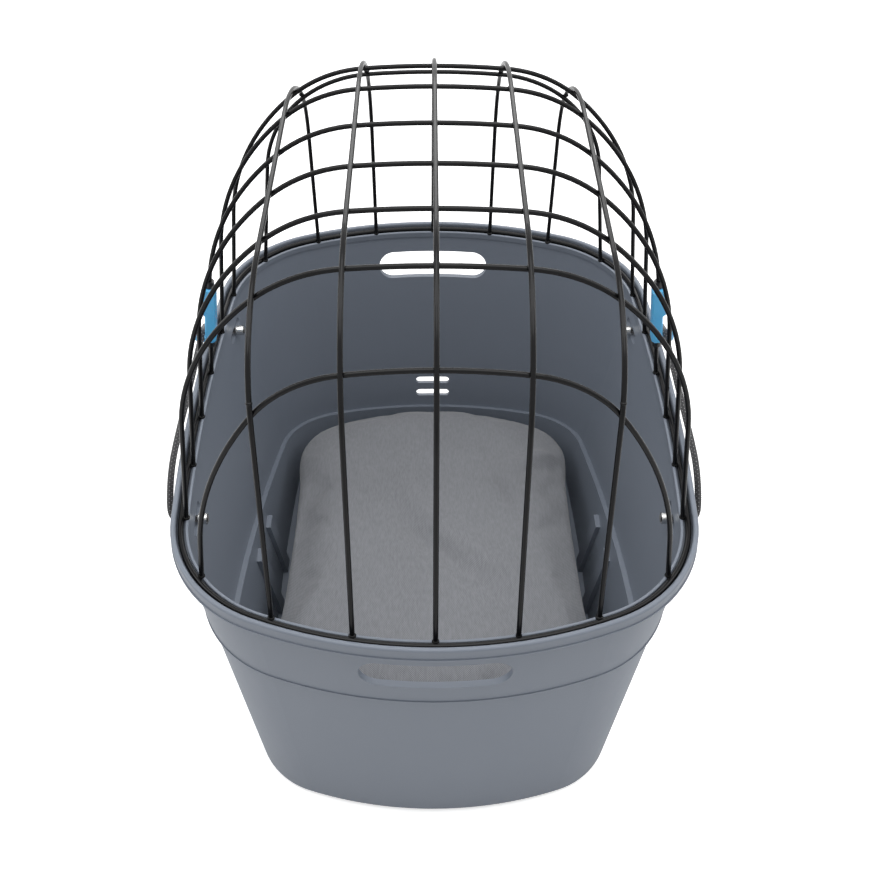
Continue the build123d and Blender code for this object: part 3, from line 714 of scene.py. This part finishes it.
def make_stage():
    mesh = bpy.data.meshes.new("studio_floor")
    corners = [(x * FLOOR_REACH, y * FLOOR_REACH, 0) for x, y in ((-1, -1), (1, -1), (1, 1), (-1, 1))]
    mesh.from_pydata(corners, [], [(0, 1, 2, 3)])
    floor = new_piece("studio_floor", mesh)
    material, tree, shader, _ = new_material("studio_white", 0.9)
    shader.inputs["Base Color"].default_value = (0.88, 0.88, 0.88, 1.0)
    shader.inputs["Specular IOR Level"].default_value = 0.1
    seen = node_at(tree, "ShaderNodeLightPath", 200, 300)
    glow = maths(tree, "MULTIPLY", 400, 300, (seen, "Is Camera Ray"), FLOOR_GLOW)
    shader.inputs["Emission Color"].default_value = (1.0, 1.0, 1.0, 1.0)
    wire_up(tree, glow, 0, shader, "Emission Strength")
    floor.data.materials.append(material)

    world = bpy.data.worlds.new("studio")
    bpy.context.scene.world = world
    world.use_nodes = True
    tree = world.node_tree
    background = tree.nodes["Background"]
    seen = node_at(tree, "ShaderNodeLightPath", -500, 0)
    direct = maths(tree, "MAXIMUM", -300, 0, (seen, "Is Camera Ray"), (seen, "Is Glossy Ray"))
    strength = node_at(tree, "ShaderNodeMapRange", -100, 0)
    strength.inputs["To Min"].default_value = WORLD_FILL
    strength.inputs["To Max"].default_value = 1.0
    wire_up(tree, direct, 0, strength, "Value")
    wire_up(tree, strength, "Result", background, "Strength")
    background.inputs["Color"].default_value = (1.0, 1.0, 1.0, 1.0)


def add_softbox(name, place, target, width, depth, power):
    light = bpy.data.lights.new(name, "AREA")
    light.shape = "RECTANGLE"
    light.size = width
    light.size_y = depth
    light.energy = power
    lamp = bpy.data.objects.new(name, light)
    bpy.context.scene.collection.objects.link(lamp)
    lamp.location = place
    lamp.rotation_euler = (Vector(target) - Vector(place)).to_track_quat("-Z", "Y").to_euler()


def add_camera():
    data = bpy.data.cameras.new("camera")
    data.sensor_width = SENSOR_WIDTH
    data.lens = SENSOR_WIDTH * FOCAL_LENGTH / PICTURE_WIDTH
    data.shift_x = SIDE_SHIFT / PICTURE_WIDTH
    data.clip_start = 0.01
    camera = bpy.data.objects.new("camera", data)
    bpy.context.scene.collection.objects.link(camera)
    turn = Matrix.Rotation(math.radians(CAMERA_TURN), 4, "Z")
    turn @= Matrix.Rotation(math.radians(CAMERA_TILT), 4, "X")
    turn @= Matrix.Rotation(math.radians(CAMERA_ROLL), 4, "Z")
    camera.matrix_world = Matrix.Translation(CAMERA_PLACE) @ turn
    bpy.context.scene.camera = camera


def main():
    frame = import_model()
    nodes = frame["nodes"]
    bpy.context.scene.view_settings.view_transform = "Standard"

    grain = grain_group()
    weave = weave_group()
    tub_plastic = grain_material(
        "tub_plastic", grain, (0.160, 0.182, 0.220), 0.42, 1400.0, 5.0, 0.06, 0.05, Specular_IOR_Level=0.45
    )
    wire_paint = grain_material(
        "wire_paint", grain, (0.004, 0.004, 0.0045), 0.2, 420.0, 30.0, 0.2, 0.05, Specular_IOR_Level=0.2
    )
    hook_plastic = grain_material(
        "hook_plastic", grain, (0.085, 0.42, 0.74), 0.30, 1600.0, 60.0, 0.1, 0.04, Subsurface_Weight=0.1
    )
    stop_plastic = grain_material(
        "stop_plastic", grain, (0.008, 0.008, 0.009), 0.35, 1500.0, 60.0, 0.2, 0.08
    )
    ferrule_metal = grain_material(
        "ferrule_metal", grain, (0.62, 0.62, 0.61), 0.24, 2400.0, 200.0, 0.15, 0.12, Metallic=1.0
    )
    cover = cover_material(weave, grain)
    braid = braid_material()

    paint(nodes["tub"], tub_plastic)
    for name, node in nodes.items():
        if "wire" in name or name == "base_ring":
            paint(node, wire_paint)
    paint(nodes["hook_left"], hook_plastic)
    paint(nodes["hook_right"], hook_plastic)
    paint(nodes["hook_stops"], stop_plastic)
    paint(nodes["cord_ferrules"], ferrule_metal)

    cords = braid_tree()
    for name, side in (("left", -1), ("right", 1)):
        cord = make_cord(f"braided_cord_{name}", side, cords, braid)
        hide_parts(f"elastic_cord_{name}")
        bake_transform(cord)

    beads = bead_tree()
    crossings = make_beads("crossing_welds", weld_places(frame), beads, wire_paint, CROSSING_BEAD_RADIUS)
    feet = make_beads("ring_welds", ring_feet(frame), beads, wire_paint, FOOT_BEAD_RADIUS)
    for piece in (crossings, feet):
        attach(piece, "cage")

    cushion = make_cushion(frame, cover)
    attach(cushion, "cushion")
    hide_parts("cushion")

    make_stage()
    for name, setting in SOFTBOXES.items():
        add_softbox(name, *setting)
    add_camera()


main()
